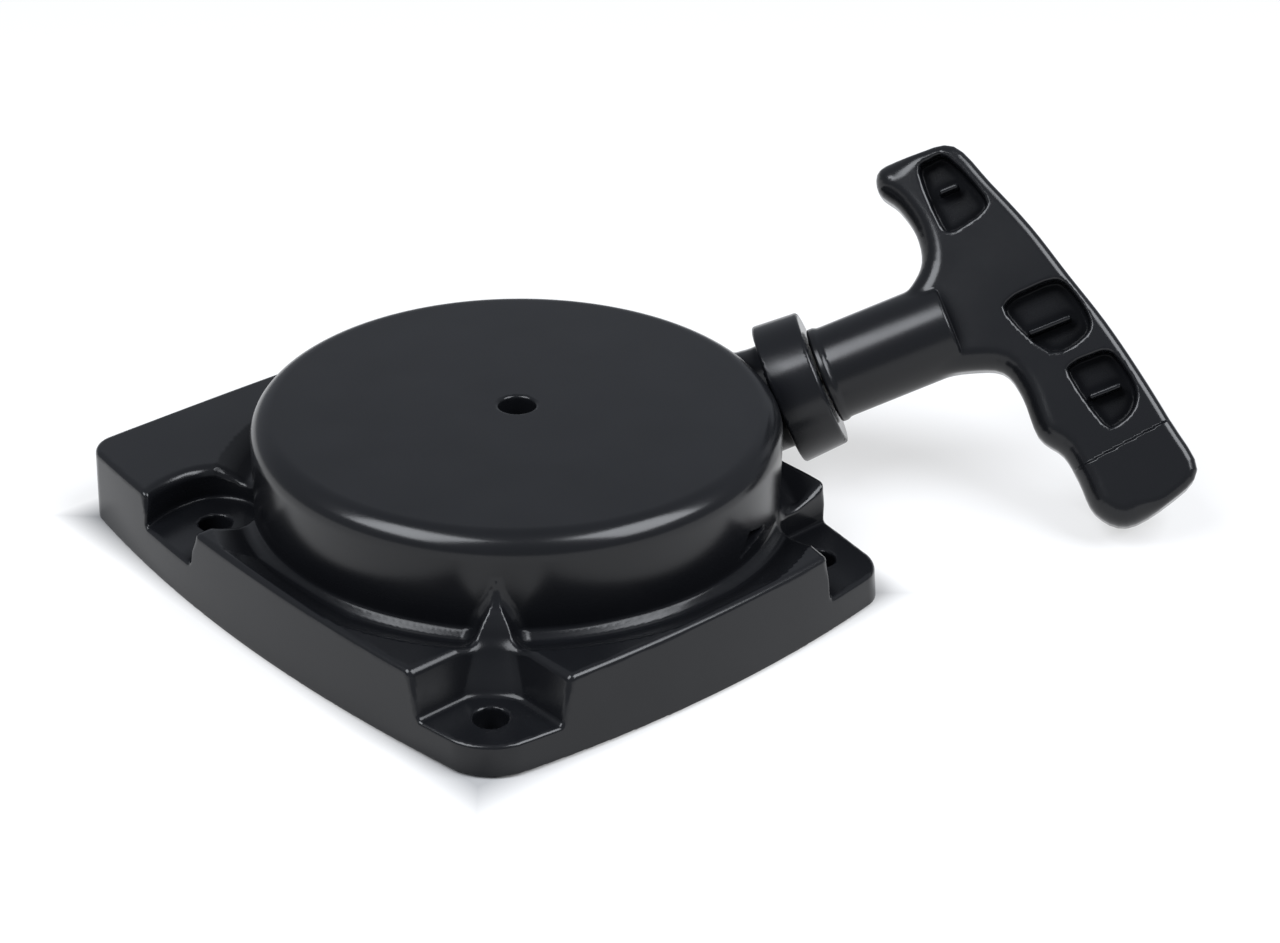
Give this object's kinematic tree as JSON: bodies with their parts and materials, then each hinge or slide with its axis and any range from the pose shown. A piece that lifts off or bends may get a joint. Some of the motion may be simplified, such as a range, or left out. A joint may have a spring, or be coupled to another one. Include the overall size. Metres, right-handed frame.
{
  "type": "recoil starter",
  "caption": "Recoil starter in black plastic: round drum on a bolt-down base, angled rope collar and T grip, with rope reel, recoil spring and pawls inside.",
  "frame": {"origin": "the crank axis at the mounting face", "axes": "+Z along the crank axis, away from the engine; X and Y along the base's straight edges, with the rope collar towards +X -Y"},
  "size_m": [0.1515, 0.1403, 0.0593],
  "materials": {
    "black_nylon": "fine spark-eroded grain, semi-matte",
    "natural_nylon": "smooth moulded",
    "bright_steel": "polished",
    "zinc_steel": "zinc plated",
    "spring_steel": "blued spring strip",
    "hard_steel": "hardened, sintered",
    "brass": "knurled",
    "bronze": "sintered, oiled",
    "rope_fibre": "braided nylon cord"
  },
  "bodies": {
    "case": {"starter_case": "black_nylon", "guide_eyelet": "bright_steel", "threaded_insert": "brass", "spring_case": "zinc_steel", "recoil_spring": "spring_steel", "ratchet_guide": "zinc_steel", "friction_spring": "spring_steel", "screw_washer": "zinc_steel", "centre_screw": "zinc_steel", "thrust_washer": "zinc_steel"},
    "reel": {"pulley": "natural_nylon", "pulley_bush": "bronze", "wound_rope": "rope_fibre", "inner_knot": "rope_fibre", "pawl_pins": "bright_steel", "pawl_clips": "spring_steel", "pawl_springs": "spring_steel"},
    "pawl_1": {"pawl_a": "hard_steel"},
    "pawl_2": {"pawl_b": "hard_steel"},
    "rope": {"pull_rope": "rope_fibre", "rope_knot": "rope_fibre"},
    "grip": {"handle_grip": "black_nylon", "knot_washer": "zinc_steel"}
  },
  "joints": [
    {"name": "handle_pull", "type": "slide", "parent": "case", "child": "rope", "axis": [0.71, -0.5749, 0.4067], "range_m": [0, 0.68], "stiffness_N_per_m": 12, "springref_m": -0.5, "deforming": ["pull_rope"]},
    {"name": "handle_twist", "type": "hinge", "parent": "rope", "child": "grip", "pos_m": [0.05583, -0.01368, 0.0186], "axis": [0.71, -0.5749, 0.4067], "range_deg": [-90, 90]},
    {"name": "pulley_spin", "type": "hinge", "parent": "case", "child": "reel", "pos_m": [0, 0, 0.0147], "axis": [0, 0, 1], "range_deg": [-2000, 10], "deforming": ["recoil_spring"]},
    {"name": "pawl_1_swing", "type": "hinge", "parent": "reel", "child": "pawl_1", "pos_m": [0, 0.023, 0.0064], "axis": [0, 0, 1], "range_deg": [0, 32], "stiffness_Nm_per_rad": 0.002, "springref_deg": -28.65},
    {"name": "pawl_2_swing", "type": "hinge", "parent": "reel", "child": "pawl_2", "pos_m": [0, -0.023, 0.0064], "axis": [0, 0, 1], "range_deg": [0, 32]}
  ],
  "couplings": [
    {"joint": "pulley_spin", "follows": "handle_pull", "rad_per_m": -48.8},
    {"joint": "pawl_2_swing", "follows": "pawl_1_swing", "ratio": 1}
  ]
}
